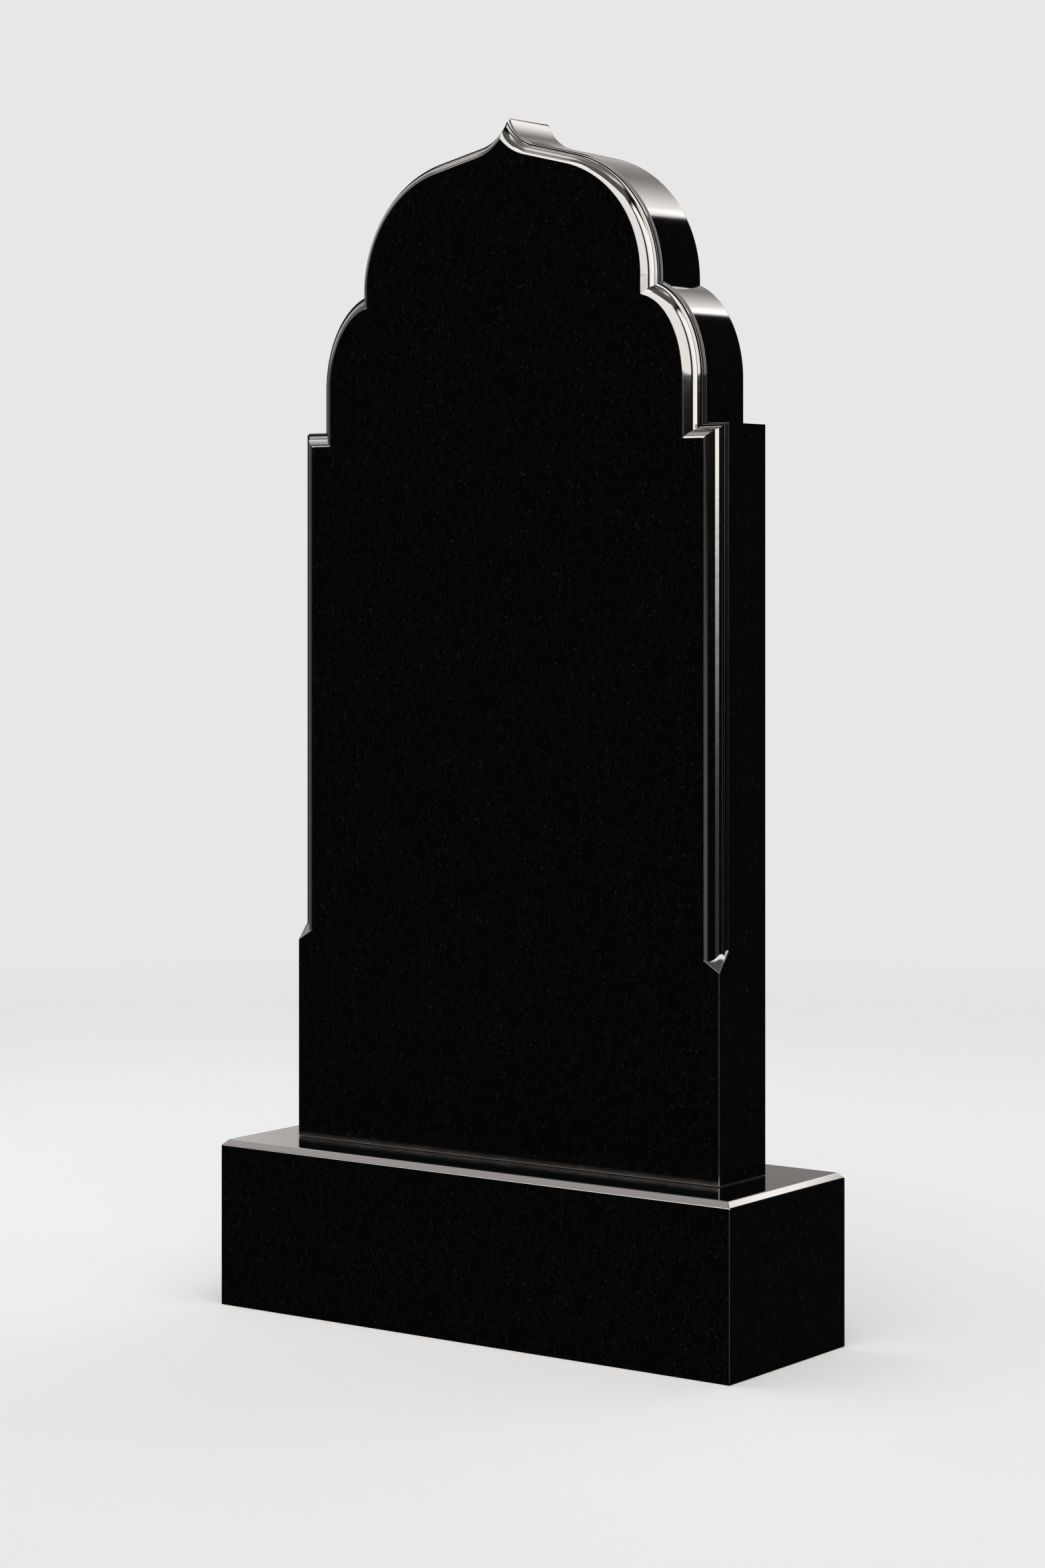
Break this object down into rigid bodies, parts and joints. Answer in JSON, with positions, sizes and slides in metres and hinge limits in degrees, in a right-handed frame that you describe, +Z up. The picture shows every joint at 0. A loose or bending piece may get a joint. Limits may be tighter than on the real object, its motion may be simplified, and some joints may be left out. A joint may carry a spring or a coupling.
{
  "type": "headstone",
  "caption": "Upright polished black granite headstone with a moulded onion-dome head, bare on its face, standing on a rectangular base block.",
  "frame": {"origin": "middle of the base block's underside, on the surface that the headstone stands on", "axes": "+Z up; the moulded front of the slab looks along -Y; +X is to the right of someone facing it"},
  "size_m": [0.6, 0.2, 1.1643],
  "materials": {
    "black_granite": "fine-grained black granite, mirror polished on the faces and moulding, honed on the back and sawn underneath"
  },
  "bodies": {
    "root": {"slab": "black_granite", "base_block": "black_granite"}
  },
  "joints": []
}
